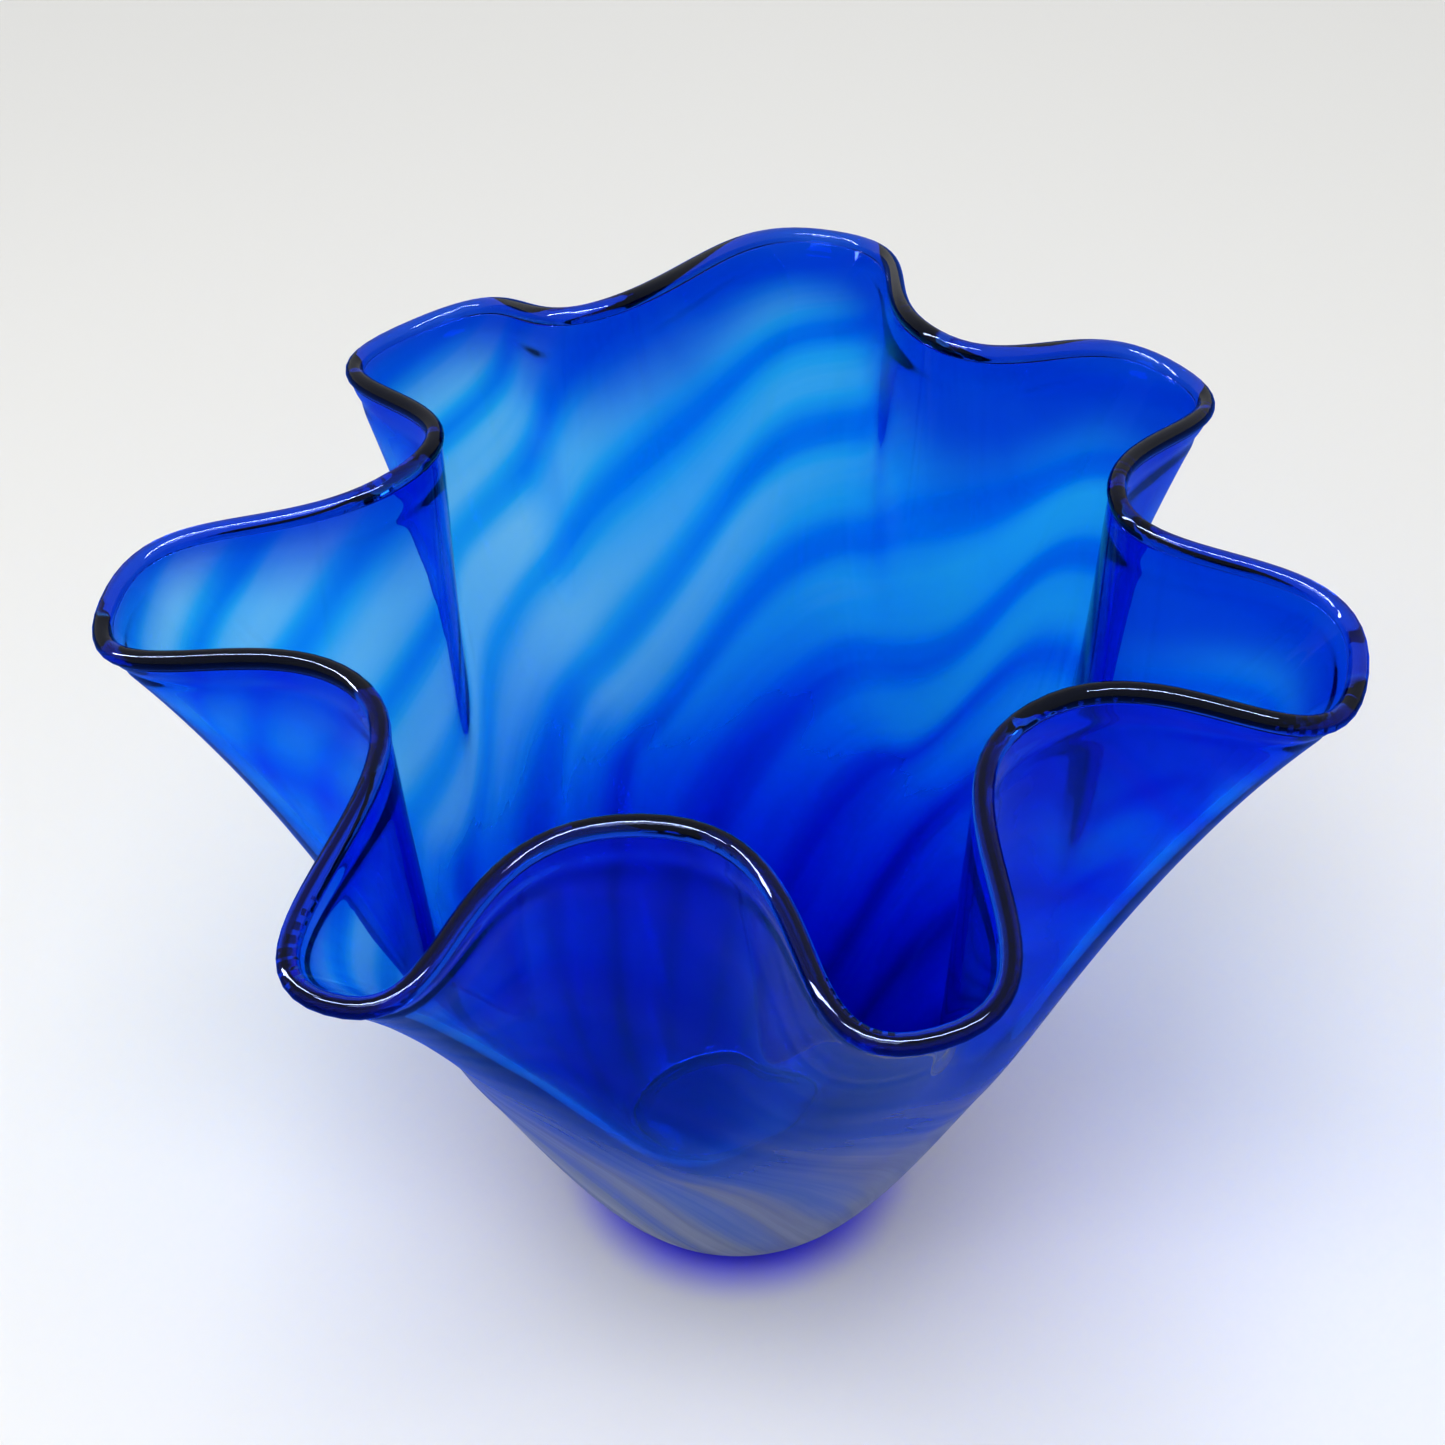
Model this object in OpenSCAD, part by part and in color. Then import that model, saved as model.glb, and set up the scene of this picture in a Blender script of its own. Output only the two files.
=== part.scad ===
// Ruffled art glass bowl, blown in layers and finished hot.
// A round cup stands on a thick ground foot, and its wall opens into seven
// lobes with seven folds between them. The wall is a colour gather with a
// paler casing over it, darker trails of glass lie between the two in a slow
// swirl, and the lip is melted back into a round bead.
// Millimetres, +Z up, origin at the middle of the foot's underside.

/* [Lip] */
// Mean height of the wavy lip above the table
lip_h = 193; // [180:1:205]
// Mean reach of the seven lobes from the axis
lobe_reach = 127; // [120:1:134]
// Mean reach of the seven folds from the axis
fold_reach = 79; // [75:1:83]
// Diameter of the fire-polished bead along the lip
bead_d = 4.2; // [4:0.1:5.4]

/* [Cup] */
// Radius of the flat ground foot
foot_r = 27; // [24:1:32]
// Radius of the round cup where the ruffles begin
cup_r = 71; // [67:1:75]
// Height at which the ruffles begin
cup_h = 79; // [72:1:86]
// Outward lean of the wall at that height, in degrees
cup_lean = 25; // [20:1:30]

/* [Glass] */
// Thickness of the wall near the lip
wall_t = 3.2; // [2.8:0.1:3.8]
// Thickness of the glass in the foot
foot_t = 7; // [6:0.5:9]
// Thickness of the paler outer casing
casing_t = 1.2; // [1:0.1:1.4]
// Thickness of a swirl trail along its middle
trail_t = 0.7; // [0.4:0.1:0.8]

/* [Swirl] */
// Number of darker trails round the bowl
trails = 14; // [12:1:20]

/* [Hidden] */
// The lip runs through one knot at each lobe and each fold, in turn. A knot
// holds its bearing, its reach and height beyond the mean, its fullness (how
// far the curve swings on before it turns) and its skew from square, so every
// lobe can wander by itself as it does when the hot lip is let fall.
LIP_KNOTS = [
    [-122,  7, -5,  80,  10],
    [-102,  1,  1, 116,   9],
    [ -75,  4, -3, 100,   3],
    [ -44,  0,  5, 106,  -9],
    [ -15,  0, -6, 118,   1],
    [   6,  2,  5,  76,  -2],
    [  35, -3, -8,  88,   3],
    [  53, -1,  9,  72, -10],
    [  78,  2, -6,  78,  -6],
    [ 109,  2,  9,  72,   7],
    [ 128, -7, -9, 118,   1],
    [ 155, -5,  0, 104, -13],
    [ 181, -1, -7, 104,  -8],
    [ 211,  3,  3,  90,   5]
];
knots = len(LIP_KNOTS);

// How far the cup's curve runs on straight at its foot and at its top
foot_ease = 12;
cup_ease = 11;
// The wall's pull up from the cup, its pull down from the lip and its lean at
// the lip. Each has a value halfway between lobe and fold and a share by which
// a full lobe goes past it.
cup_pull = [36, 22];
lip_pull = [52, -22];
lip_lean = [15, 21];
mid_reach = 100;
lobe_span = 28;

// Rows of the wall's mesh in the cup and in the ruffles, and how closely the
// ruffles' rows crowd towards the lip, where 1 is evenly
cup_rows = 8;
ruffle_rows = 18;
rows = cup_rows + ruffle_rows;
row_crowding = 1.2;
// Columns from one trail to the next. A trail is two columns wide.
trail_pitch = 5;
// Columns by which the trails start ahead of the first knot at the foot
trail_lead = 3;
columns = trail_pitch * trails;
// Points on the bead's round between the two edges of the wall
bead_points = 7;
// Step in rows and knots over which the wall's slope is measured
slope_step = 0.02;

// ---- small maths

function trail_name(i) = str("swirl_trail_", i < 10 ? "0" : "", i);
function unit(v) = v / norm(v);
function bezier(a, b, c, d, t) =
    pow(1 - t, 3) * a + 3 * pow(1 - t, 2) * t * b + 3 * (1 - t) * t * t * c + pow(t, 3) * d;
function hermite(a, pull_a, b, pull_b, t) =
    bezier(a, a + pull_a / 3, b - pull_b / 3, b, t);
function polar(r, bearing, z) = [r * cos(bearing), r * sin(bearing), z];

// ---- the lip: w counts knots round the bowl and may run past either end

function lap(w) = w - knots * floor(w / knots);
function knot(i) = LIP_KNOTS[i % knots];
function knot_bearing(i) = knot(i)[0] + 360 * floor(i / knots);
function knot_point(i) =
    polar((i % 2 == 0 ? lobe_reach : fold_reach) + knot(i)[1], knot(i)[0], lip_h + knot(i)[2]);
function knot_pull(i) = knot(i)[3] * polar(1, knot(i)[0] + knot(i)[4] + 90, 0);
function lip_point(w) =
    let (i = floor(lap(w)), s = lap(w) - i)
    hermite(knot_point(i), knot_pull(i), knot_point(i + 1), knot_pull(i + 1), s);
function bearing(w) =
    let (i = floor(lap(w)), s = lap(w) - i)
    knot_bearing(i) * (1 - s) + knot_bearing(i + 1) * s;

// ---- the wall: h counts rows up from the foot

function cup_point(t, w) =
    let (p = bezier(
        [foot_r, 0],
        [foot_r + foot_ease, 0],
        [cup_r - cup_ease * sin(cup_lean), cup_h - cup_ease * cos(cup_lean)],
        [cup_r, cup_h],
        t
    ))
    polar(p[0], bearing(w), p[1]);
function ruffle_point(t, w) =
    let (
        lip = lip_point(w),
        lip_bearing = atan2(lip[1], lip[0]),
        lobe = (norm([lip[0], lip[1]]) - mid_reach) / lobe_span,
        pull_up = cup_pull[0] + cup_pull[1] * lobe,
        pull_down = lip_pull[0] + lip_pull[1] * lobe,
        lean = lip_lean[0] + lip_lean[1] * lobe,
        start = polar(cup_r, bearing(w), cup_h)
    )
    bezier(
        start,
        start + pull_up * polar(sin(cup_lean), bearing(w), cos(cup_lean)),
        lip - pull_down * polar(sin(lean), lip_bearing, cos(lean)),
        lip,
        t
    );
function wall_point(h, w) =
    h < cup_rows
    ? cup_point(h / cup_rows, w)
    : ruffle_point(1 - pow((rows - h) / ruffle_rows, row_crowding), w);

// A column follows the swirl: it falls back by one place for each row it
// climbs, so the trails lie along the mesh's own diagonals.
function column_w(h, c) = knots * (c - h + trail_lead) / columns;
function across(h, w) = wall_point(h, w + slope_step) - wall_point(h, w - slope_step);
function climb(h, w) =
    wall_point(min(h + slope_step, rows), w) - wall_point(h - slope_step, w);
function outward(h, w) = h == 0 ? [0, 0, -1] : unit(cross(across(h, w), climb(h, w)));

// ---- the layers, as depths measured outward from the wall's own surface

function outer_depth(h) = wall_t / 2 * pow(h / rows, 2);
function inner_depth(h) =
    outer_depth(h) - wall_t - (foot_t - wall_t) * pow(1 - h / rows, 2);
function seam_depth(h) = outer_depth(h) - casing_t;
// A trail swells from nothing at each end to its full thickness.
function trail_swell(h) = trail_t * pow(sin(180 * h / rows), 0.5);
function on_trail(c) = c % trail_pitch == 1;

WALL = [for (h = [0 : rows]) [for (c = [0 : columns - 1]) wall_point(h, column_w(h, c))]];
OUTWARD = [for (h = [0 : rows]) [for (c = [0 : columns - 1]) outward(h, column_w(h, c))]];
function layer_point(h, c, depth) =
    WALL[h][c % columns] + depth * OUTWARD[h][c % columns];
INNER_SKIN = [for (h = [0 : rows]) [for (c = [0 : columns - 1])
    layer_point(h, c, inner_depth(h))]];
SEAM_SKIN = [for (h = [0 : rows]) [for (c = [0 : columns - 1])
    layer_point(h, c, seam_depth(h))]];
TRAIL_SKIN = [for (h = [0 : rows]) [for (c = [0 : columns - 1])
    layer_point(h, c, seam_depth(h) + (on_trail(c) ? trail_swell(h) : 0))]];
OUTER_SKIN = [for (h = [0 : rows]) [for (c = [0 : columns - 1])
    layer_point(h, c, outer_depth(h))]];

// ---- solids between two skins

function flat_list(skin) = [for (row = skin) for (p = row) p];
function split(a, b, c, d) = [[a, b, c], [a, c, d]];

// A closed shell: the outer skin's points come first, then the inner skin's.
module shell(outer_skin, inner_skin) {
    inside = (rows + 1) * columns;
    function at(h, c) = h * columns + c % columns;
    faces = [
        for (c = [0 : columns - 1]) each concat(
            [for (h = [0 : rows - 1]) each concat(
                [[at(h, c), at(h + 1, c), at(h + 1, c + 1)],
                 [at(h, c), at(h + 1, c + 1), at(h, c + 1)]],
                [[inside + at(h, c), inside + at(h + 1, c + 1), inside + at(h + 1, c)],
                 [inside + at(h, c), inside + at(h, c + 1), inside + at(h + 1, c + 1)]]
            )],
            split(at(0, c), at(0, c + 1), inside + at(0, c + 1), inside + at(0, c)),
            split(inside + at(rows, c), inside + at(rows, c + 1),
                  at(rows, c + 1), at(rows, c))
        )
    ];
    polyhedron(concat(flat_list(outer_skin), flat_list(inner_skin)), faces, convexity = 12);
}

// ---- the pieces

// Thick disc of glass, ground flat underneath, that the bowl stands on
module foot_pad() {
    color("#10109a")
        cylinder(h = foot_t, r = foot_r * cos(180 / columns), $fn = 180);
}

// Inner gather of cobalt glass: the wall that carries everything else
module gather_wall() {
    color("#0a50dc") shell(SEAM_SKIN, INNER_SKIN);
}

// Thin paler casing over the gather and the trails
module casing_wall() {
    color("#3c8cf0") shell(OUTER_SKIN, TRAIL_SKIN);
}

// One darker trail: a flat lens lying on the gather, pointed at both ends
module swirl_trail(i) {
    first = trail_pitch * (i - 1);
    // Points in a row: the two edges, the middle of the bed and of the crown
    function at(h, k) = 4 * h + (k == 3 && (h == 0 || h == rows) ? 1 : k);
    points = [for (h = [0 : rows]) each [
        SEAM_SKIN[h][first % columns],
        SEAM_SKIN[h][(first + 1) % columns],
        SEAM_SKIN[h][(first + 2) % columns],
        TRAIL_SKIN[h][(first + 1) % columns]
    ]];
    // At each tip one triangle of crown and bed would lie on each other, so
    // the left strip leaves its pair out at the lip and the right at the foot.
    faces = [for (h = [0 : rows - 1]) each concat(
        h == rows - 1 ? [] : [
            [at(h, 0), at(h + 1, 0), at(h + 1, 3)],
            [at(h, 0), at(h + 1, 1), at(h + 1, 0)]
        ],
        h == 0 ? [] : [
            [at(h, 3), at(h + 1, 2), at(h, 2)],
            [at(h, 1), at(h, 2), at(h + 1, 2)]
        ],
        [
            [at(h, 0), at(h + 1, 3), at(h, 3)],
            [at(h, 0), at(h, 1), at(h + 1, 1)],
            [at(h, 3), at(h + 1, 3), at(h + 1, 2)],
            [at(h, 1), at(h + 1, 2), at(h + 1, 1)]
        ]
    )];
    color("#0a14a0") polyhedron(points, faces, convexity = 8);
}

// Fire-polished bead along the whole lip, round above the wall's cut edge
module lip_bead() {
    bead_r = bead_d / 2;
    rise = sqrt(bead_r * bead_r - wall_t * wall_t / 4);
    tuck = asin(rise / bead_r);
    ring = bead_points + 3;
    function bead_ring(c) =
        let (
            w = column_w(rows, c),
            out = OUTWARD[rows][c],
            up = unit(cross(out, across(rows, w))),
            middle = WALL[rows][c] + rise * up
        )
        concat(
            [INNER_SKIN[rows][c], SEAM_SKIN[rows][c], OUTER_SKIN[rows][c]],
            [for (k = [1 : bead_points])
                let (a = -tuck + (180 + 2 * tuck) * k / (bead_points + 1))
                middle + bead_r * (cos(a) * out + sin(a) * up)]
        );
    function at(c, k) = (c % columns) * ring + k % ring;
    points = [for (c = [0 : columns - 1]) each bead_ring(c)];
    faces = [for (c = [0 : columns - 1]) for (k = [0 : ring - 1]) each
        split(at(c, k), at(c, k + 1), at(c + 1, k + 1), at(c + 1, k))];
    color("#0a0a32") polyhedron(points, faces, convexity = 12);
}

foot_pad();
gather_wall();
casing_wall();
lip_bead();
for (i = [1 : trails]) swirl_trail(i);
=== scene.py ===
# %% [markdown]
# # A ruffled bowl in cobalt glass
#
# The real object is one piece of blown glass. A gather of cobalt glass is
# blown into a round cup, opened into a wide wavy skirt while it is hot, and
# its lip is melted back into a bead. Darker trails of glass turn slowly round
# inside the wall. This script builds the glass as closed meshes from a few
# curves, gives it real refraction and absorption, and lights it on a pale table
# as a small studio would.

# %% The frame
import math

import bmesh
import bpy
import numpy as np
from mathutils import Matrix, Vector


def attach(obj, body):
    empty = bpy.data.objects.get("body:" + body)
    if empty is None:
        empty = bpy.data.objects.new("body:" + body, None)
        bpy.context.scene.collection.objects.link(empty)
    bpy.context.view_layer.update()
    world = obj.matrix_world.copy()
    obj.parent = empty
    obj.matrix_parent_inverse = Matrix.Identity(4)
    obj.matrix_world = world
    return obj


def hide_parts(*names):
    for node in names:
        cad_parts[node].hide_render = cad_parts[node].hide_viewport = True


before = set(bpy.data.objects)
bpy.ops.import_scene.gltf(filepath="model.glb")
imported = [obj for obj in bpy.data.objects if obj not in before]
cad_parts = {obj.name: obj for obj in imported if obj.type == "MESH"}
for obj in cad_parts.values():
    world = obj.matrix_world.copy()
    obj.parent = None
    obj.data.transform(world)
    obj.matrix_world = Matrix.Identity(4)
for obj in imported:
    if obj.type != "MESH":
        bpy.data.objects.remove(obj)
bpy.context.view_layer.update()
MM = 0.001

# %% [markdown]
# ## The lip's curve
#
# A ruffled lip could be a circle with a sine wave on it, but then every lobe
# is the same. Hot glass falls as it likes, so the lip here runs through one
# knot at each lobe and each fold, and each knot has its own bearing, reach,
# height, fullness and skew. Between two knots it is a Hermite curve, which
# can swing past its own knot and so bulge the way a soft lobe does.
# `w` counts knots round the bowl.

# %% Knots of the lip
LIP_HEIGHT = 193 * MM
LOBE_REACH = 127 * MM
FOLD_REACH = 79 * MM
LIP_KNOTS = [  # bearing, reach and height beyond the mean, fullness, skew
    (-122, 7, -5, 80, 10),
    (-102, 1, 1, 116, 9),
    (-75, 4, -3, 100, 3),
    (-44, 0, 5, 106, -9),
    (-15, 0, -6, 118, 1),
    (6, 2, 5, 76, -2),
    (35, -3, -8, 88, 3),
    (53, -1, 9, 72, -10),
    (78, 2, -6, 78, -6),
    (109, 2, 9, 72, 7),
    (128, -7, -9, 118, 1),
    (155, -5, 0, 104, -13),
    (181, -1, -7, 104, -8),
    (211, 3, 3, 90, 5),
]
KNOTS = len(LIP_KNOTS)
bearing, reach, rise, fullness, skew = np.array(LIP_KNOTS, float).T
mean_reach = np.where(np.arange(KNOTS) % 2 == 0, LOBE_REACH, FOLD_REACH)
knot_bearing = np.radians(bearing)
knot_reach = mean_reach + reach * MM
knot_height = LIP_HEIGHT + rise * MM
knot_swing = knot_bearing + np.radians(skew) + math.pi / 2


def polar(radius, angle, height):
    """Points from a radius, a bearing in radians and a height."""
    x, y, z = np.broadcast_arrays(radius * np.cos(angle), radius * np.sin(angle), height)
    return np.stack([x, y, z], -1)


def bezier(a, b, c, d, t):
    """A cubic curve from a to d with handles b and c."""
    return (1 - t) ** 3 * a + 3 * (1 - t) ** 2 * t * b + 3 * (1 - t) * t * t * c + t**3 * d


KNOT_POINTS = polar(knot_reach, knot_bearing, knot_height)
KNOT_PULLS = polar(fullness * MM, knot_swing, 0.0)


def knots_beside(w):
    """The knot before w, the knot after it and how far w is between them."""
    before = np.floor(w).astype(int)
    return before % KNOTS, (before + 1) % KNOTS, (w - before)[..., None]


def lip_point(w):
    """The lip's middle line."""
    a, b, t = knots_beside(w)
    start, end = KNOT_POINTS[a], KNOT_POINTS[b]
    return bezier(start, start + KNOT_PULLS[a] / 3, end - KNOT_PULLS[b] / 3, end, t)


def bearing_of(w):
    """The bearing at which the glass at w leaves the round cup."""
    a, b, t = knots_beside(w)
    start = knot_bearing[a]
    step = (knot_bearing[b] - start) % (2 * math.pi)
    return start + step * t[..., 0]


print("lip reaches", round(knot_reach.max() / MM), "mm and is", round(knot_height.max() / MM), "mm high")

# %% [markdown]
# ## The wall
#
# Below the lip the ruffles die away into a plain round cup. So the wall is a
# family of threads, one for each `w`: up the cup along one profile, then on a
# Bezier curve from the cup's ring to that thread's own place on the lip.
# Lobes leave the cup at a lean and folds climb almost straight, which is what
# makes the deep channels outside. `h` runs from 0 at the foot to 1 at the lip.

# %% Threads of the wall
FOOT_RADIUS = 27 * MM
CUP_RADIUS = 71 * MM
CUP_HEIGHT = 79 * MM
CUP_LEAN = math.radians(25)
FOOT_EASE = 12 * MM
CUP_EASE = 22 * MM
CUP_SHARE = 0.3
ROW_CROWDING = 1.2
MID_REACH = 100 * MM
LOBE_SPAN = 28 * MM
PULL_UP = (36 * MM, 22 * MM)  # of a thread midway between lobe and fold, and more for a lobe
PULL_DOWN = (52 * MM, -22 * MM)
LIP_LEAN = (15, 21)


def cup_point(t, w):
    """A point on the round cup, t from 0 at the foot to 1 where the ruffles begin."""
    profile = bezier(
        np.array([FOOT_RADIUS, 0]),
        np.array([FOOT_RADIUS + FOOT_EASE, 0]),
        np.array([
            CUP_RADIUS - CUP_EASE * math.sin(CUP_LEAN),
            CUP_HEIGHT - CUP_EASE * math.cos(CUP_LEAN),
        ]),
        np.array([CUP_RADIUS, CUP_HEIGHT]),
        t[..., None],
    )
    return polar(profile[..., 0], bearing_of(w), profile[..., 1])


def ruffle_point(t, w):
    """A point on a ruffled thread, t from 0 at the cup to 1 at the lip."""
    lip = lip_point(w)
    lip_reach = np.hypot(lip[..., 0], lip[..., 1])
    lip_bearing = np.arctan2(lip[..., 1], lip[..., 0])
    lobe = (lip_reach - MID_REACH) / LOBE_SPAN
    pull_up = PULL_UP[0] + PULL_UP[1] * lobe
    pull_down = PULL_DOWN[0] + PULL_DOWN[1] * lobe
    lean = np.radians(LIP_LEAN[0] + LIP_LEAN[1] * lobe)
    start = polar(CUP_RADIUS, bearing_of(w), CUP_HEIGHT)
    up = polar(math.sin(CUP_LEAN), bearing_of(w), math.cos(CUP_LEAN))
    down = polar(np.sin(lean), lip_bearing, np.cos(lean))
    return bezier(
        start,
        start + pull_up[..., None] * up,
        lip - pull_down[..., None] * down,
        lip,
        t[..., None],
    )


def wall_point(h, w):
    """The wall's own surface, from which its thickness is measured."""
    h, w = np.broadcast_arrays(np.clip(h, 0, 1), w)
    cup = cup_point(np.minimum(h / CUP_SHARE, 1), w)
    up = np.clip((1 - h) / (1 - CUP_SHARE), 0, 1)
    ruffle = ruffle_point(1 - up**ROW_CROWDING, w)
    return np.where((h < CUP_SHARE)[..., None], cup, ruffle)


SLOPE_STEP = 0.002


def unit(v):
    """The same arrows, each one long."""
    return v / np.linalg.norm(v, axis=-1, keepdims=True)


def across_wall(h, w):
    """The way round the bowl along the wall, as a step."""
    return wall_point(h, w + SLOPE_STEP) - wall_point(h, w - SLOPE_STEP)


def outward(h, w):
    """The wall's outward normal. It points straight down where the foot begins."""
    climb = wall_point(h + SLOPE_STEP, w) - wall_point(h - SLOPE_STEP, w)
    normal = unit(np.cross(across_wall(h, w), climb))
    at_foot = np.broadcast_to(h <= 0, normal.shape[:-1])
    return np.where(at_foot[..., None], np.array([0.0, 0.0, -1.0]), normal)


where_ruffles_begin = wall_point(np.array(CUP_SHARE), np.array(0.0))
print("the ruffles begin", round(where_ruffles_begin[2] / MM), "mm above the table")

# %% [markdown]
# ## Thickness
#
# Glass blown this way is thick where it was never stretched, at the foot, and
# thin where it was, near the lip. The outer skin lies on the wall's surface
# at the foot and half a thickness outside it at the lip, so the bead can sit
# on the middle of the wall's edge. Just below the bead the tool that opened the
# lip left a shallow neck, which shows as a thin light line round the outside.

# %% Skins of the wall
WALL_THICKNESS = 3.2 * MM
FOOT_THICKNESS = 7 * MM
NECK_DEPTH = 0.4 * MM
NECK_PLACE = 0.955
NECK_SPAN = 0.014


def casing_depth(h):
    """How far the outer skin lies outside the wall's surface, but for the neck."""
    return WALL_THICKNESS / 2 * h**2


def outer_depth(h):
    """The outer skin, with a shallow neck in it just below the bead."""
    return casing_depth(h) - NECK_DEPTH * math.exp(-(((h - NECK_PLACE) / NECK_SPAN) ** 2))


def inner_depth(h):
    """How far the inner skin lies outside it, which is less than 0."""
    return casing_depth(h) - WALL_THICKNESS - (FOOT_THICKNESS - WALL_THICKNESS) * (1 - h) ** 2


def skin(h, w, depth):
    """Points of a skin that lies at a depth outward from the wall's surface."""
    return wall_point(h, w) + np.asarray(depth)[..., None] * outward(h, w)


for share in (0.0, 0.5, 1.0):
    thickness = casing_depth(share) - inner_depth(share)
    print("at h", share, "the wall is", round(thickness / MM, 1), "mm thick")

# %% [markdown]
# ## Making meshes
#
# Every piece here is a grid of rings wrapped round the axis or round the lip,
# so one helper turns rings of points into quads. `close` joins the last ring
# back to the first, as a bead needs, and poles end a surface on the axis.
# The helper also stores where each corner lies on the glass, in a UV map:
# across is `w`, and up is `h` on the outer skin and then on down the inner one,
# so the shader can follow the ruffles and tell the two skins apart.

# %% Ring meshes
GLASS_PATH = "glass_path"


def link_mesh(name, bm):
    """A shaded-smooth object from a bmesh, which is freed."""
    bmesh.ops.recalc_face_normals(bm, faces=bm.faces)
    mesh = bpy.data.meshes.new(name)
    bm.to_mesh(mesh)
    bm.free()
    mesh.polygons.foreach_set("use_smooth", [True] * len(mesh.polygons))
    piece = bpy.data.objects.new(name, mesh)
    bpy.context.scene.collection.objects.link(piece)
    return piece


def ring_mesh(name, rings, heights, close=False, poles=None):
    """Quads between rings of points, closed round each ring.

    heights holds how far up the map each ring lies. poles, if given, are the
    first and last points, on the axis."""
    bm = bmesh.new()
    path = bm.loops.layers.uv.new(GLASS_PATH)
    count = len(rings[0])
    verts = [[bm.verts.new(point) for point in ring] for ring in rings]

    def face(corners):
        """A face from its corners, each with its column and its height on the map."""
        made = bm.faces.new([vert for vert, _, _ in corners])
        for loop, (_, c, h) in zip(made.loops, corners):
            loop[path].uv = (c / count, h)

    pairs = list(zip(range(len(rings) - 1), range(1, len(rings))))
    if close:
        pairs.append((len(rings) - 1, 0))
    for a, b in pairs:
        for c in range(count):
            d = (c + 1) % count
            face([
                (verts[a][c], c, heights[a]),
                (verts[a][d], c + 1, heights[a]),
                (verts[b][d], c + 1, heights[b]),
                (verts[b][c], c, heights[b]),
            ])
    for pole, r in zip(poles or [], (0, len(rings) - 1)):
        tip = bm.verts.new(pole)
        for c in range(count):
            d = (c + 1) % count
            face([
                (verts[r][c], c, heights[r]),
                (verts[r][d], c + 1, heights[r]),
                (tip, c + 0.5, heights[r]),
            ])
    piece = link_mesh(name, bm)
    print(name, "has", len(piece.data.vertices), "points in", len(rings), "rings")
    return piece


# %% [markdown]
# ## The glass wall
#
# One closed mesh holds the gather, its casing and the trails between them.
# On the bench they are three layers of glass, but the furnace fuses them, and
# a ray of light meets only the inside and the outside of the wall. Separate
# shells would put two more mirrors inside the glass and show as cracks.
# Underneath, the wall has a shallow round recess that the foot sits in.

# %% Wall piece
COLUMNS = 24 * KNOTS
WALL_ROWS = 76
LIP_ROWS = 20
LIP_START = 0.9
FOOT_PAD_DEPTH = 1.0 * MM
GLASS_GAP = 0.02 * MM
GROUND_V = -0.1  # marks ground glass in the map
POLE_SHARE = 0.15
RECESS_RINGS = 7

around = np.arange(COLUMNS) * KNOTS / COLUMNS
rows = np.append(np.linspace(0, LIP_START, WALL_ROWS)[:-1], np.linspace(LIP_START, 1, LIP_ROWS))


def foot_rings(radii, height):
    """Flat rings round the axis, in step with the wall's columns."""
    return [polar(radius, bearing_of(around), height) for radius in radii]


def build_glass_wall():
    """Rings from the recess underneath, up outside, down inside and across the floor."""
    outer = [skin(h, around, outer_depth(h)) for h in rows]
    inner = [skin(h, around, inner_depth(h)) for h in rows]
    recess_radius = FOOT_RADIUS + GLASS_GAP
    recess_height = FOOT_PAD_DEPTH + GLASS_GAP
    recess = foot_rings(np.linspace(POLE_SHARE, 1, RECESS_RINGS) * recess_radius, recess_height)
    floor_radii = np.linspace(1, POLE_SHARE, RECESS_RINGS + 1)[1:] * FOOT_RADIUS
    floor = foot_rings(floor_radii, FOOT_THICKNESS)
    outer[0] = foot_rings([recess_radius], 0.0)[0]
    rings = recess + outer + inner[::-1] + floor
    heights = [GROUND_V] * len(recess) + list(rows) + list(2 - rows[::-1]) + [2.0] * len(floor)
    poles = [(0, 0, recess_height), (0, 0, FOOT_THICKNESS)]
    return ring_mesh("glass_wall", rings, heights, poles=poles)


glass_wall = build_glass_wall()
trail_nodes = sorted(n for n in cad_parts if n.startswith("swirl_trail"))
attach(glass_wall, "root")
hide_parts("gather_wall", "casing_wall", *trail_nodes)

# %% [markdown]
# ## The lip bead
#
# Held back in the flame, the cut lip pulls itself round and a little thicker
# than the wall, and the colour gathers in it. It is a tube swept along the
# lip, with a flat side where it meets the wall's edge. Each section stands
# square to the lip: outward, and up the wall.

# %% Lip bead piece
BEAD_RADIUS = 2.1 * MM
BEAD_SIDES = 22


def build_lip_bead():
    """Sections swept along the lip. Its map runs from 0 outside over the top to 1 inside."""
    out = outward(1.0, around)
    up = unit(np.cross(out, across_wall(1.0, around)))
    edge = wall_point(1.0, around)
    sit = math.sqrt(BEAD_RADIUS**2 - (WALL_THICKNESS / 2) ** 2)
    tuck = math.asin(sit / BEAD_RADIUS)
    middle = edge + (sit + GLASS_GAP) * up
    sections = []
    for k in range(BEAD_SIDES + 1):
        angle = -tuck + (math.pi + 2 * tuck) * k / BEAD_SIDES
        sections.append(middle + BEAD_RADIUS * (math.cos(angle) * out + math.sin(angle) * up))
    for share in (-0.5, 0.0, 0.5):
        sections.append(edge + GLASS_GAP * up + share * WALL_THICKNESS * out)
    round_share = [min(k / BEAD_SIDES, 1) for k in range(len(sections))]
    return ring_mesh("lip_bead_glass", sections, round_share, close=True)


lip_bead = build_lip_bead()
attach(lip_bead, "root")
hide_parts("lip_bead")

# %% [markdown]
# ## The foot
#
# The blower's last cut is at the foot, which is then ground flat on a wheel
# so that the bowl stands. It is a disc with its edges just broken.

# %% Foot piece
FOOT_BREAK = 0.25 * MM
FOOT_RINGS = 6


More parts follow.
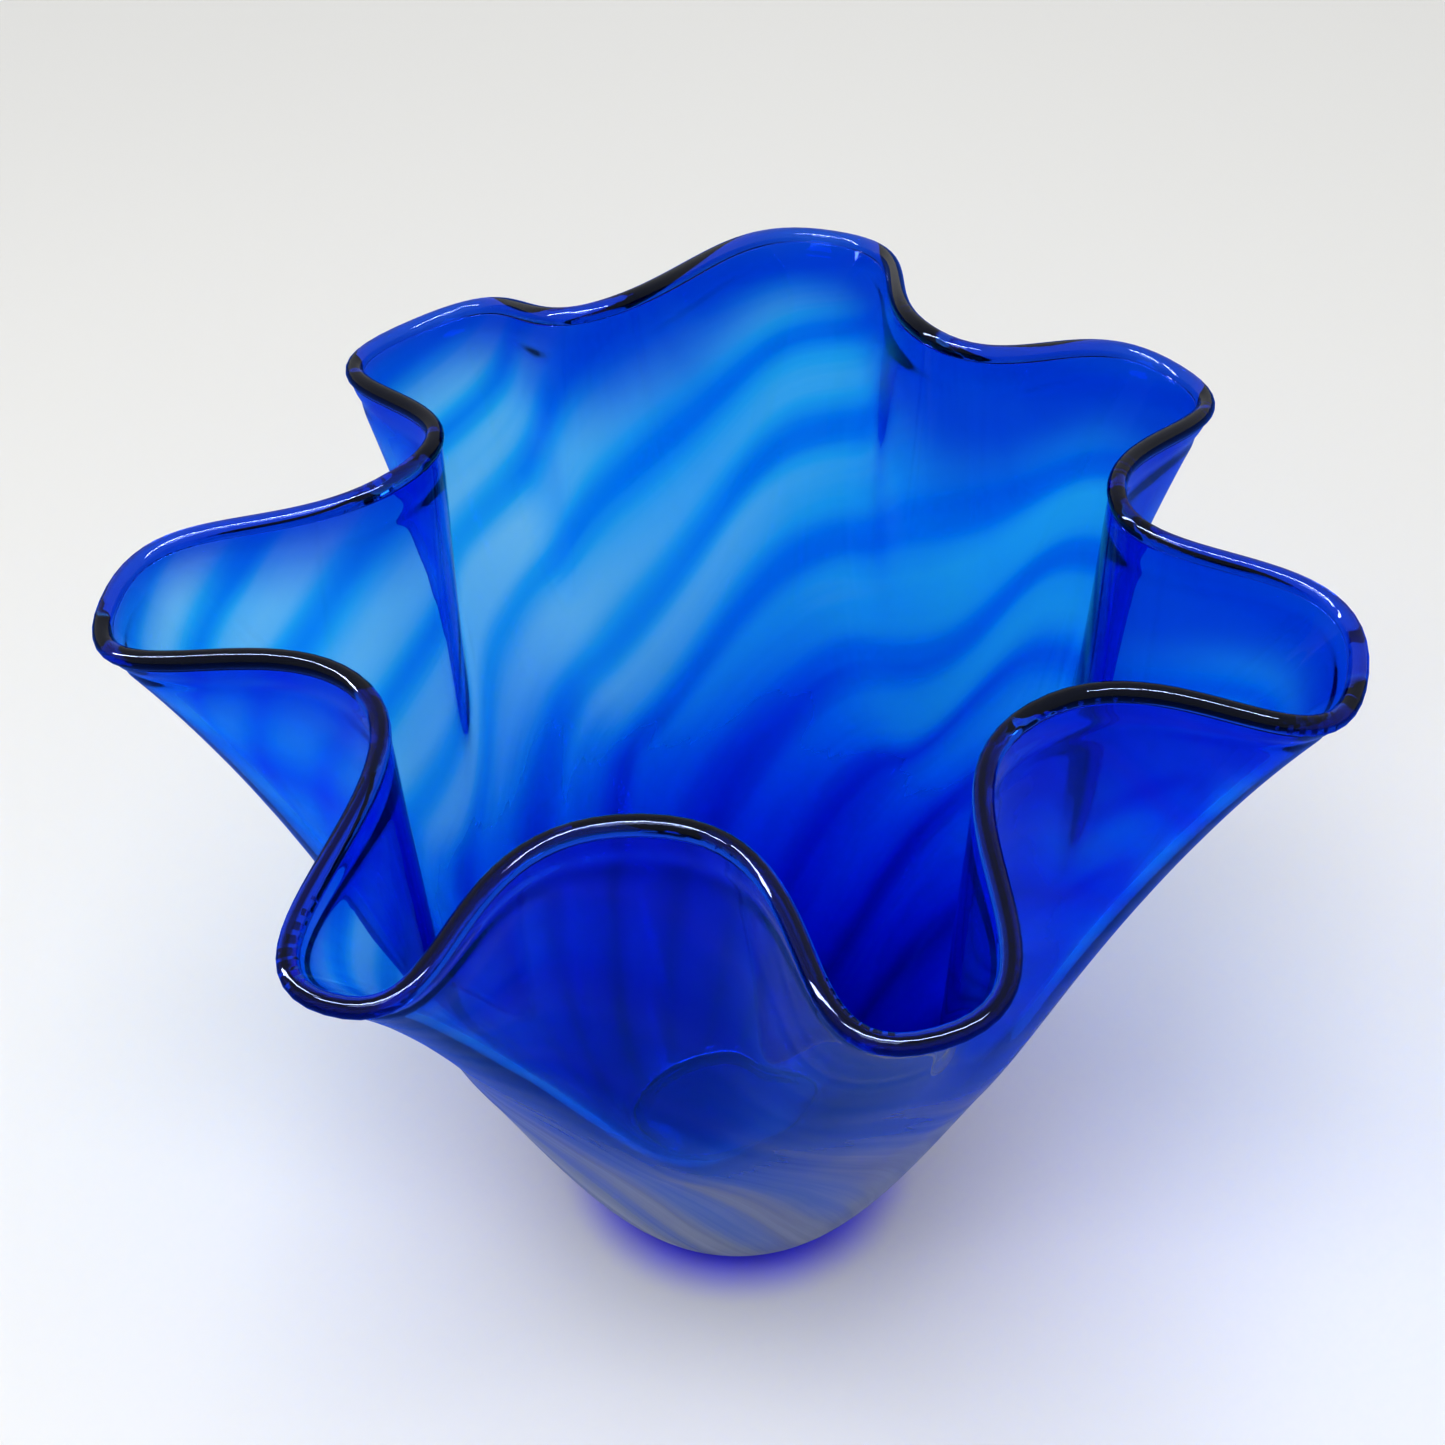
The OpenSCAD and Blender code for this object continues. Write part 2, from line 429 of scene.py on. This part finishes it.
def build_foot():
    """Rings across the ground face, up the broken edge and back across the top."""
    radius = FOOT_RADIUS - GLASS_GAP
    flat = np.linspace(POLE_SHARE, 1, FOOT_RINGS) * (radius - FOOT_BREAK)
    low = foot_rings(flat, 0.0)
    side = foot_rings([radius - 0.3 * FOOT_BREAK], 0.3 * FOOT_BREAK)
    side += foot_rings([radius], FOOT_BREAK)
    side += foot_rings([radius], FOOT_PAD_DEPTH - FOOT_BREAK)
    high = foot_rings(flat[::-1], FOOT_PAD_DEPTH)
    rings = low + side + high
    poles = [(0, 0, 0), (0, 0, FOOT_PAD_DEPTH)]
    return ring_mesh("ground_foot", rings, [0.0] * len(rings), poles=poles)


ground_foot = build_foot()
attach(ground_foot, "root")
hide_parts("foot_pad")

# %% [markdown]
# ## Shader maths as expressions
#
# A wall of node-linking calls hides what a shader does. `Sock` wraps an
# output socket so that `1 - mask * 0.5` builds the Math nodes by itself, and
# `Shader.node` makes any other node from its type, settings and sockets.

# %% Socket wrapper


class Shader:
    """The node tree of a material or a world, with one method for any node."""

    def __init__(self, owner):
        self.owner = owner
        owner.use_nodes = True
        self.tree = owner.node_tree
        self.tree.nodes.clear()

    def node(self, kind, settings=None, **values):
        """Makes a node, sets it up and fills its sockets.

        A socket's name is written with _ for a space, or as i0, i1 by number."""
        made = self.tree.nodes.new(kind)
        for key, value in (settings or {}).items():
            if key == "stops":
                self.set_stops(made.color_ramp, value)
            else:
                setattr(made, key, value)
        for key, value in values.items():
            by_number = key[0] == "i" and key[1:].isdigit()
            socket = made.inputs[int(key[1:]) if by_number else key.replace("_", " ")]
            if isinstance(value, Sock):
                self.tree.links.new(value.socket, socket)
            elif value is not None:
                socket.default_value = value
        return made

    def out(self, kind, output=0, settings=None, **values):
        """The same, and gives one of the node's outputs as a Sock."""
        return Sock(self, self.node(kind, settings, **values).outputs[output])

    @staticmethod
    def set_stops(ramp, stops):
        """Gives a colour ramp its places and colours."""
        while len(ramp.elements) < len(stops):
            ramp.elements.new(1.0)
        for element, (place, colour) in zip(ramp.elements, stops):
            element.position = place
            element.color = colour

    def mix(self, factor, a, b):
        """Colour a where factor is 0 and colour b where it is 1."""
        return self.out(
            "ShaderNodeMix", 2, {"data_type": "RGBA"}, i0=factor, i6=a, i7=b
        )

    def smooth(self, value, low, high):
        """0 below low, 1 above high and a soft step between."""
        return self.out(
            "ShaderNodeMapRange", 0, {"interpolation_type": "SMOOTHSTEP"},
            Value=value, From_Min=low, From_Max=high,
        )

    def noise(self, vector, scale, detail=3.0, roughness=0.5, distortion=0.0):
        """Cloudy values round 0.5."""
        return self.out(
            "ShaderNodeTexNoise", 0, Vector=vector, Scale=scale,
            Detail=detail, Roughness=roughness, Distortion=distortion,
        )


class Sock:
    """An output socket that can be used in arithmetic, which adds Math nodes."""

    def __init__(self, shader, socket):
        self.shader = shader
        self.socket = socket

    def _maths(self, operation, *others):
        values = {f"i{n}": value for n, value in enumerate(others)}
        return self.shader.out("ShaderNodeMath", 0, {"operation": operation}, **values)

    def __add__(self, other):
        return self._maths("ADD", self, other)

    def __radd__(self, other):
        return self._maths("ADD", other, self)

    def __sub__(self, other):
        return self._maths("SUBTRACT", self, other)

    def __rsub__(self, other):
        return self._maths("SUBTRACT", other, self)

    def __mul__(self, other):
        return self._maths("MULTIPLY", self, other)

    def __rmul__(self, other):
        return self._maths("MULTIPLY", other, self)

    def __truediv__(self, other):
        return self._maths("DIVIDE", self, other)

    def __pow__(self, other):
        return self._maths("POWER", self, other)

    def cosine(self):
        return self._maths("COSINE", self)

    def size(self):
        return self._maths("ABSOLUTE", self)

    def above(self, other):
        return self._maths("GREATER_THAN", self, other)

    def at_least(self, other):
        return self._maths("MAXIMUM", self, other)


def new_shader(name):
    """The shader of a new material."""
    return Shader(bpy.data.materials.new(name))


def srgb(red, green, blue):
    """A colour as the eye names it, 0 to 255, in the linear light Cycles works in."""
    def channel(value):
        value /= 255
        return value / 12.92 if value <= 0.04045 else ((value + 0.055) / 1.055) ** 2.4
    return (channel(red), channel(green), channel(blue), 1.0)


# %% [markdown]
# ## Cobalt glass
#
# Two things colour this glass. The more of it light crosses, the more red and
# green is lost, which darkens every edge, and that is a Volume Absorption.
# The trails are streaks of stronger colour, and those tint the surface. The
# UV map holds the place on the wall, so a trail is a cosine of `w` plus a
# turn that grows with `h`: that is exactly how a straight stripe on a gather
# becomes a spiral when the blower twists it. A lobe's glass was pulled down
# further than a fold's, so the trails sag there, by a cosine that repeats every
# two knots.

# %% Place on the glass
FULL_TURN = 2 * math.pi
STREAK_FINENESS = 8.0
STREAK_LENGTH = 1.5


class GlassPlace:
    """Where a shaded point lies on the wall: w in knots, h, and a noise vector.

    The map's height runs from 0 at the foot up the outer skin to 1 at the lip,
    then down the inner skin to 2. It is less than 0 where the glass is ground."""

    def __init__(self, shader):
        self.shader = shader
        path = shader.out("ShaderNodeUVMap", 0, {"uv_map": GLASS_PATH})
        split = shader.node("ShaderNodeSeparateXYZ", Vector=path)
        self.w = Sock(shader, split.outputs[0]) * float(KNOTS)
        self.over = Sock(shader, split.outputs[1])
        self.h = 1 - (self.over - 1.0).size()
        self.outside = 1 - self.over.above(1.0)
        self.ground = 1 - self.over.above(GROUND_V * 0.9)
        self.spot = shader.out("ShaderNodeTexCoord", 3)

    def toward(self, knot):
        """1 at a knot, falling to -1 across the bowl from it."""
        return ((self.w - knot) * (FULL_TURN / KNOTS)).cosine()

    def streaks(self, turn):
        """Fine lines drawn out along the swirl, without a break where the map closes."""
        angle = turn * (FULL_TURN / KNOTS)
        across = angle.cosine() * STREAK_FINENESS
        along = (angle - math.pi / 2).cosine() * STREAK_FINENESS
        spot = self.shader.out(
            "ShaderNodeCombineXYZ", 0, X=across, Y=along, Z=self.h * STREAK_LENGTH
        )
        return self.shader.noise(spot, 1.0, detail=4.0, roughness=0.6) - 0.5


def glass_output(shader, surface, density, colour):
    """Sends a surface and a plain absorption to the material's output."""
    volume = shader.out("ShaderNodeVolumeAbsorption", Color=colour, Density=density)
    shader.node("ShaderNodeOutputMaterial", Surface=surface, Volume=volume)
    print(shader.owner.name, "has", len(shader.tree.nodes), "nodes")
    return shader.owner


print("one turn round the map is", KNOTS, "knots")

# %% Trails
TRAIL_PHASE = 0.2
TRAIL_TURN = 5.6
TRAIL_SAG = 0.87
TRAIL_WANDER = 0.2
WANDER_SCALE = 9.0
FINE_SCALE = 40.0


class Swirl:
    """The trails drawn through the glass, and the wandering that keeps them uneven."""

    def __init__(self, shader, place):
        self.wander = shader.noise(place.spot, WANDER_SCALE) - 0.5
        fine = shader.noise(place.spot, FINE_SCALE, distortion=0.6) - 0.5
        climb = place.h - CUP_SHARE
        sag = (place.w * math.pi).cosine() * climb.at_least(0.0) * TRAIL_SAG
        turn = place.w + climb * TRAIL_TURN + sag + self.wander * TRAIL_WANDER
        wave = 0.5 + 0.5 * ((turn - TRAIL_PHASE) * FULL_TURN).cosine()
        self.streak = place.streaks(turn)
        self.trail = (wave + fine * 0.06 + self.streak * 0.2).at_least(0.0) ** 2.0


print("the trails turn", TRAIL_TURN, "knots from foot to lip")

# %% [markdown]
# ## How strong the cobalt is
#
# One number says how much cobalt there is at a place, and a ramp turns it into
# the colour that light takes there: azure where the glass was blown thin, then
# royal blue, then navy. The trails add to it, and so does the thick glass low
# down, with painted shade there for the shadowed table under the bowl. One side
# of the bowl is painted paler, as painted light, with its palest patch at the
# middle of the height. A ramp keeps the whole range in one place, where it is
# easy to tune against the real glass.

# %% Wall tint
WALL_STRENGTH = 0.15
TRAIL_STRENGTH = 0.27
# Darker low down: thick glass, and painted shade of the shadowed table under the bowl.
FOOT_AND_SHADE_STRENGTH = 0.8
WANDER_STRENGTH = 0.2
STREAK_STRENGTH = 0.14
# Painted light: one side of the wall, and a patch on it, made paler.
PAINTED_LIGHT_SIDE = 0.10
PAINTED_LIGHT_SIDE_KNOT = 12.2
PAINTED_LIGHT_PATCH = 0.12
PAINTED_LIGHT_PATCH_PLACE = (9.8, 0.48)
PAINTED_LIGHT_PATCH_REACH = (1.8, 0.25)
STRENGTH_STOPS = [
    (0.0, (0.90, 0.93, 1.00, 1)),
    (0.2, (0.10, 0.69, 1.00, 1)),
    (0.4, (0.00, 0.41, 0.99, 1)),
    (0.6, (0.00, 0.17, 0.90, 1)),
    (0.8, (0.00, 0.04, 0.80, 1)),
    (1.0, (0.00, 0.003, 0.55, 1)),
]
LIP_TINT = (0.0, 0.09, 0.76, 1.0)
# Deep tint of the base: thick glass, and painted shade.
DEEP_TINT_AND_SHADE = (0.0, 0.006, 0.42, 1.0)
GROUND_TINT = (0.04, 0.28, 0.90, 1.0)


def cobalt_strength(shader, place, swirl, painted_light_side):
    """How much cobalt there is, from about 0 to 1, with painted shade and painted light."""
    # Darker toward the foot, from thick glass and from painted shade.
    near_foot = 1 - shader.smooth(place.h + swirl.wander * 0.1, 0.02, 0.47)
    # A painted light patch, where the wall is made paler.
    off_side = (place.w - PAINTED_LIGHT_PATCH_PLACE[0]) / PAINTED_LIGHT_PATCH_REACH[0]
    off_height = (place.h - PAINTED_LIGHT_PATCH_PLACE[1]) / PAINTED_LIGHT_PATCH_REACH[1]
    painted_light_patch = (1 - off_side * off_side - off_height * off_height).at_least(0.0)
    trails = swirl.trail * shader.smooth(place.h, 0.05, 0.35)
    strength = WALL_STRENGTH + trails * TRAIL_STRENGTH + near_foot * FOOT_AND_SHADE_STRENGTH
    # Painted light: the lit side and its patch are made paler.
    strength = strength - painted_light_side * PAINTED_LIGHT_SIDE - painted_light_patch * PAINTED_LIGHT_PATCH
    return strength + swirl.wander * WANDER_STRENGTH + swirl.streak * STREAK_STRENGTH


def wall_tint(shader, place, swirl):
    """The colour that light takes at the wall's surface."""
    # The side of the bowl that is painted paler, as painted light.
    painted_light_side = place.toward(PAINTED_LIGHT_SIDE_KNOT)
    strength = cobalt_strength(shader, place, swirl, painted_light_side)
    tint = shader.out("ShaderNodeValToRGB", 0, {"stops": STRENGTH_STOPS}, Fac=strength)
    near_lip = shader.smooth(place.h + swirl.wander * 0.15 - painted_light_side * 0.07, 0.78, 0.96)
    tint = shader.mix(near_lip * 0.9, tint, LIP_TINT)
    # Deepest at the base: thick glass, and painted shade of the shadowed table.
    above_base = shader.smooth(place.h, 0.0, 0.22)
    tint = shader.mix(above_base, DEEP_TINT_AND_SHADE, tint)
    return shader.mix(place.ground, tint, GROUND_TINT)


print("the tint ramp has", len(STRENGTH_STOPS), "stops")

# %% [markdown]
# ## Lustre and painted reflection on the outside
#
# Low on the outside the casing scatters a little light, as a khaki grey lustre
# on the trails. The blue between them is a painted reflection of the blue-lit
# table, and where the skin is seen edge on the coat is a painted reflection too.
# It could be a second shell, but a shell would put another mirror in the glass.
# A Mix Shader lays a thin, soft coat over the outer skin instead, stronger low
# down and where the skin is seen edge on, and the fine streaks break it up.

# %% Outer lustre and painted reflection
# Blue painted reflection of the blue-lit table. Khaki grey lustre of the streaks, which also colours the
# painted reflection edge on.
BLUE_PAINTED_REFLECTION = (0.03, 0.32, 1.0, 1.0)
KHAKI_LUSTRE_AND_REFLECTION = (0.42, 0.43, 0.36, 1.0)
COAT_ROUGHNESS = 0.4


def outer_lustre_and_reflection(shader, place, swirl, bump):
    """The coat's shader, lustre and painted reflection, and how much of it lies over the glass."""
    low = 1 - shader.smooth(place.h + swirl.wander * 0.3, 0.1, 0.55)
    hem = shader.smooth(place.h, 0.01, 0.06)
    # Painted reflection where the skin is seen edge on.
    painted_graze_reflection = shader.out("ShaderNodeLayerWeight", 1, Blend=0.5) ** 3.0
    khaki = low * (0.3 + swirl.trail * 0.6) + swirl.streak + painted_graze_reflection
    lustre_and_reflection_colour = shader.mix(khaki, BLUE_PAINTED_REFLECTION, KHAKI_LUSTRE_AND_REFLECTION)
    lustre_and_reflection = shader.out(
        "ShaderNodeBsdfPrincipled", 0, Base_Color=lustre_and_reflection_colour, Roughness=COAT_ROUGHNESS, Normal=bump
    )
    # Low down: khaki lustre on the trails and painted reflection of the blue-lit table.
    low_lustre_and_reflection = low * hem * (0.5 + swirl.trail * 0.16 + swirl.streak * 0.4)
    amount = place.outside * (0.02 + low_lustre_and_reflection + painted_graze_reflection * (0.3 + swirl.streak * 0.6))
    return lustre_and_reflection, amount


print("haze colours:", BLUE_PAINTED_REFLECTION[:3], "and", KHAKI_LUSTRE_AND_REFLECTION[:3])

# %% [markdown]
# ## The wall's glass
#
# The surface is a Principled shader that lets all light through, with a faint
# ripple left by the blowing. Its glints are tinted blue, which keeps them from
# greying so deep a colour. The body of the wall takes out red first, then green.

# %% Wall material
GLASS_IOR = 1.5
COBALT_DENSITY = 460.0
COBALT_COLOUR = (0.15, 0.74, 0.99, 1.0)
BLUE_GLINT = (0.05, 0.15, 1.0, 1.0)
POLISHED = 0.01
GROUND = 0.4
RIPPLE_SCALE = 14.0


def cobalt_wall_glass():
    """The glass of the wall, with its trails, its lustre and its painted reflection."""
    shader = new_shader("cobalt_wall_glass")
    place = GlassPlace(shader)
    swirl = Swirl(shader, place)
    ripple = shader.noise(place.spot, RIPPLE_SCALE, detail=1.0)
    bump = shader.out("ShaderNodeBump", 0, Strength=0.04, Distance=0.01, Height=ripple)
    glass = shader.out(
        "ShaderNodeBsdfPrincipled", 0, Base_Color=wall_tint(shader, place, swirl),
        Roughness=place.ground * GROUND + POLISHED, Specular_Tint=BLUE_GLINT,
        IOR=GLASS_IOR, Transmission_Weight=1.0, Normal=bump,
    )
    lustre_and_reflection, amount = outer_lustre_and_reflection(shader, place, swirl, bump)
    surface = shader.out("ShaderNodeMixShader", 0, i0=amount, i1=glass, i2=lustre_and_reflection)
    return glass_output(shader, surface, COBALT_DENSITY, COBALT_COLOUR)


glass_wall.data.materials.append(cobalt_wall_glass())

# %% [markdown]
# ## The bead's glass
#
# Melted back, the lip is a deep blue bead. Its crown is painted nearly black, a
# painted dark reflection, along the side of the bowl that faces the camera, and
# it is clear azure on the far side. Below the crown it is deep blue outside and
# pale blue inside, where painted light stands for the far rim seen against the
# light. The map of the bead runs over its top, so the crown is a band in that map.

# %% Bead material
CROWN_START = (0.42, 0.52)
CROWN_END = (0.6, 0.66)
# The knot facing the camera, where the painted dark reflection on the crown is strongest, and how dark
# it is.
DARK_SIDE_KNOT = 1.0
BEAD_PAINTED_DARK = (0.0, 0.0, 0.02, 1.0)
BEAD_OUTSIDE = (0.0, 0.03, 0.70, 1.0)
# Paler inside: painted light, for the far rim seen against the light.
BEAD_INSIDE_PAINTED_LIGHT = (0.25, 0.75, 1.0, 1.0)
BEAD_GLINT = (0.5, 0.6, 1.0, 1.0)
BEAD_DENSITY = 400.0
BEAD_COLOUR = (0.0, 0.5, 0.93, 1.0)


def dark_lip_glass():
    """The glass of the bead."""
    shader = new_shader("dark_lip_glass")
    place = GlassPlace(shader)
    cloud = shader.noise(place.spot, 60.0) - 0.5
    # A painted dark reflection over the crown, strongest on the side facing the camera.
    crown = shader.smooth(place.over, *CROWN_START) * (1 - shader.smooth(place.over, *CROWN_END))
    painted_dark_side = shader.smooth(place.toward(DARK_SIDE_KNOT), 0.0, 0.75)
    # Deep blue outside, and paler inside as painted light.
    side = shader.mix(place.over, BEAD_OUTSIDE, BEAD_INSIDE_PAINTED_LIGHT)
    tint = shader.mix(crown * painted_dark_side + cloud * 0.2, side, BEAD_PAINTED_DARK)
    surface = shader.out(
        "ShaderNodeBsdfPrincipled", 0, Base_Color=tint, Roughness=0.03,
        Specular_Tint=BEAD_GLINT, IOR=GLASS_IOR, Transmission_Weight=1.0,
    )
    return glass_output(shader, surface, BEAD_DENSITY, BEAD_COLOUR)


lip_bead.data.materials.append(dark_lip_glass())

# %% [markdown]
# ## The ground foot's glass
#
# A grinding wheel leaves fine scratches, which scatter what passes through.
# Roughness does most of that, and a very small bump gives the grain.

# %% Foot material
FOOT_TINT = (0.02, 0.22, 0.85, 1.0)
SCRATCH_SCALE = 900.0
SCRATCH_DEPTH = 0.2 * MM


def ground_foot_glass():
    """The glass of the foot."""
    shader = new_shader("ground_foot_glass")
    place = GlassPlace(shader)
    scratches = shader.noise(place.spot, SCRATCH_SCALE, detail=4.0)
    bump = shader.out("ShaderNodeBump", 0, Strength=0.2, Distance=SCRATCH_DEPTH, Height=scratches)
    surface = shader.out(
        "ShaderNodeBsdfPrincipled", 0, Base_Color=shader.mix(scratches, FOOT_TINT, GROUND_TINT),
        Roughness=0.35, IOR=GLASS_IOR, Transmission_Weight=1.0, Normal=bump,
    )
    return glass_output(shader, surface, COBALT_DENSITY, COBALT_COLOUR)


ground_foot.data.materials.append(ground_foot_glass())

# %% [markdown]
# ## The studio table
#
# Glass shows what is round it, so the bowl stands on a pale table under a pale
# sky. The real base throws a ring of blue light on the table. A path tracer
# finds such light only by luck, so here the ring is painted on the table.

# %% Table
TABLE_HALF = 3.0
TABLE_SQUARES = 24
TABLE_DROP = 0.2 * MM
TABLE_DARK = srgb(226, 226, 224)
TABLE_PALE = srgb(232, 232, 230)
FOOT_GLOW = (0.03, 0.01, 1.0, 1.0)
GLOW_REACH = (0.028, 0.046)


def flat_card(name, half, drop, squares=1):
    """A level square just below the foot."""
    bm = bmesh.new()
    bmesh.ops.create_grid(bm, x_segments=squares, y_segments=squares, size=half)
    bmesh.ops.translate(bm, verts=bm.verts, vec=(0, 0, -drop))
    return link_mesh(name, bm)


def table_paint():
    """Matt pale paint, a little cloudy, with the blue ring round the foot."""
    shader = new_shader("pale_table")
    spot = shader.out("ShaderNodeTexCoord", 3)
    cloud = shader.noise(spot, 1.5, detail=2.0)
    paint = shader.mix(cloud, TABLE_DARK, TABLE_PALE)
    axes = shader.node("ShaderNodeSeparateXYZ", Vector=spot)
    east = Sock(shader, axes.outputs[0])
    north = Sock(shader, axes.outputs[1])
    glow = 1 - shader.smooth((east * east + north * north) ** 0.5, *GLOW_REACH)
    paint = shader.mix(glow * 0.85, paint, FOOT_GLOW)
    surface = shader.out(
        "ShaderNodeBsdfPrincipled", 0, Base_Color=paint, Roughness=0.7, Specular_IOR_Level=0.1
    )
    shader.node("ShaderNodeOutputMaterial", Surface=surface)
    return shader.owner


table = flat_card("studio_table", TABLE_HALF, TABLE_DROP, TABLE_SQUARES)
table.data.materials.append(table_paint())
print("the table is", 2 * TABLE_HALF, "m across")

# %% [markdown]
# ## The sky
#
# A plain white world would do, but light from low down gets in under the
# bowl's overhang and washes out its shadow. So the world is a little dimmer at
# the horizon than overhead, as a room with pale walls and lamps above is.

# %% World
HORIZON_LIGHT = 0.66
OVERHEAD_LIGHT = 0.86
SKY_COLOUR = (1.0, 0.995, 0.985, 1.0)


def studio_world():
    """A pale world that brightens from the horizon up."""
    world = bpy.data.worlds.new("studio_world")
    bpy.context.scene.world = world
    sky = Shader(world)
    direction = sky.out("ShaderNodeTexCoord", 0)
    height = Sock(sky, sky.node("ShaderNodeSeparateXYZ", Vector=direction).outputs[2])
    rise = sky.smooth(height, 0.1, 0.9)
    strength = HORIZON_LIGHT + rise * (OVERHEAD_LIGHT - HORIZON_LIGHT)
    light = sky.out("ShaderNodeBackground", 0, Color=SKY_COLOUR, Strength=strength)
    sky.node("ShaderNodeOutputWorld", Surface=light)


studio_world()
print("the world shines", HORIZON_LIGHT, "at the horizon and", OVERHEAD_LIGHT, "overhead")

# %% [markdown]
# ## Lamps, glints and a flag
#
# One soft lamp gives the light a direction. The crisp white lines on the bead
# are reflections of long thin lamps. Lamps bright enough to draw them would
# flood the table, so these two show in reflections only. A white table seen in
# the outside of the bowl would grey it, so a deep blue card that only
# reflections can see lies on the table. In a studio, such a card is a flag.

# %% Lamps and flag
BOWL_MIDDLE = (0.0, 0.0, 0.1)
FLAG_HALF = 2.5
FLAG_DROP = 0.1 * MM
FLAG_COLOUR = (0.0, 0.12, 0.7, 1.0)


def soft_lamp(name, place, size, watts):
    """A rectangular lamp that faces the bowl."""
    lamp = bpy.data.lights.new(name, "AREA")
    lamp.shape = "RECTANGLE"
    lamp.size, lamp.size_y = size
    lamp.energy = watts
    holder = bpy.data.objects.new(name, lamp)
    bpy.context.scene.collection.objects.link(holder)
    holder.location = place
    aim = Vector(BOWL_MIDDLE) - Vector(place)
    holder.rotation_euler = aim.to_track_quat("-Z", "Y").to_euler()
    print(name, "gives", watts, "W")
    return holder


def glint_strip(name, place, size, watts):
    """A lamp that only shows as a glint, and lights nothing else."""
    strip = soft_lamp(name, place, size, watts)
    strip.visible_diffuse = False
    strip.visible_transmission = False


def build_flag():
    """A deep blue card on the table that only reflections can see."""
    flag = flat_card("reflection_flag", FLAG_HALF, FLAG_DROP)
    flag.visible_camera = False
    flag.visible_diffuse = False
    flag.visible_transmission = False
    flag.visible_shadow = False
    shader = new_shader("flag_card")
    card = shader.out("ShaderNodeBsdfPrincipled", 0, Base_Color=FLAG_COLOUR, Roughness=0.9)
    shader.node("ShaderNodeOutputMaterial", Surface=card)
    flag.data.materials.append(shader.owner)


soft_lamp("softbox_overhead", (-0.12, -0.4, 1.15), (0.6, 0.6), 8)
glint_strip("glint_front", (0.0, -0.25, 1.15), (1.4, 0.14), 25)
glint_strip("glint_left", (-0.9, 0.1, 0.9), (0.14, 1.0), 18)
build_flag()

# %% [markdown]
# ## The camera
#
# It stands close, on a long lens, and looks down into the bowl, tipped a
# little to one side as a hand-held camera is. The colours are shown plainly,
# with a gamma that deepens the blues a little, as a camera's own curve does.

# %% Camera
CAMERA_PLACE = np.array([-0.0016, -0.4338, 0.5466])
CAMERA_DIP = math.radians(42.55)
CAMERA_ROLL = math.radians(-1.31)
LENS_MM = 68.2
CAMERA_GAMMA = 0.8


def build_camera():
    """A camera from its place, its dip below the horizon and its roll."""
    forward = np.array([0, math.cos(CAMERA_DIP), -math.sin(CAMERA_DIP)])
    level = np.array([1.0, 0, 0])
    over = np.array([0, math.sin(CAMERA_DIP), math.cos(CAMERA_DIP)])
    right = math.cos(CAMERA_ROLL) * level + math.sin(CAMERA_ROLL) * over
    up = -math.sin(CAMERA_ROLL) * level + math.cos(CAMERA_ROLL) * over
    lens = bpy.data.cameras.new("studio_camera")
    lens.lens = LENS_MM
    lens.clip_start = 0.01
    camera = bpy.data.objects.new("studio_camera", lens)
    bpy.context.scene.collection.objects.link(camera)
    turn = Matrix(np.stack([right, up, -forward], 1).tolist()).to_4x4()
    camera.matrix_world = Matrix.Translation(CAMERA_PLACE.tolist()) @ turn
    bpy.context.scene.camera = camera


build_camera()
bpy.context.scene.view_settings.view_transform = "Standard"
bpy.context.scene.view_settings.gamma = CAMERA_GAMMA
print("the camera has a", LENS_MM, "mm lens")
